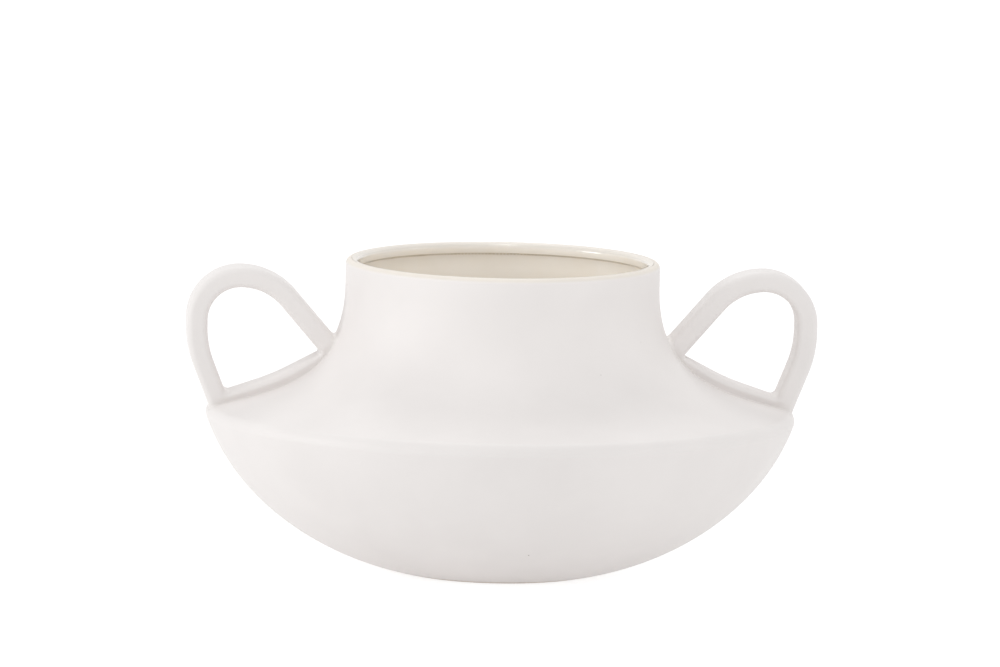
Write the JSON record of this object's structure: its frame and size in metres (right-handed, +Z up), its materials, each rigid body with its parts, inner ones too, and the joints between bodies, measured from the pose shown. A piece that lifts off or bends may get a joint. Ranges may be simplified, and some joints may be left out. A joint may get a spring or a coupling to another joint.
{
  "type": "plant pot",
  "caption": "Squat ceramic plant pot with a turned shell, concave shoulder, upright neck and closed strap ring handles, glazed inside.",
  "frame": {"origin": "centre of the foot's underside", "axes": "+Z up along the axis of the turned shell; the handles point along +X and -X; -Y is the front"},
  "size_m": [0.328, 0.306, 0.162],
  "materials": {
    "matte_glaze": "matte warm-white glaze over fired clay",
    "cream_glaze": "glossy cream glaze",
    "slip": "matte, fired joining slip"
  },
  "bodies": {
    "root": {"pot_body": "matte_glaze", "inner_glaze": "cream_glaze", "left_handle": "matte_glaze", "right_handle": "matte_glaze", "left_luting_slip": "slip", "right_luting_slip": "slip"}
  },
  "joints": []
}
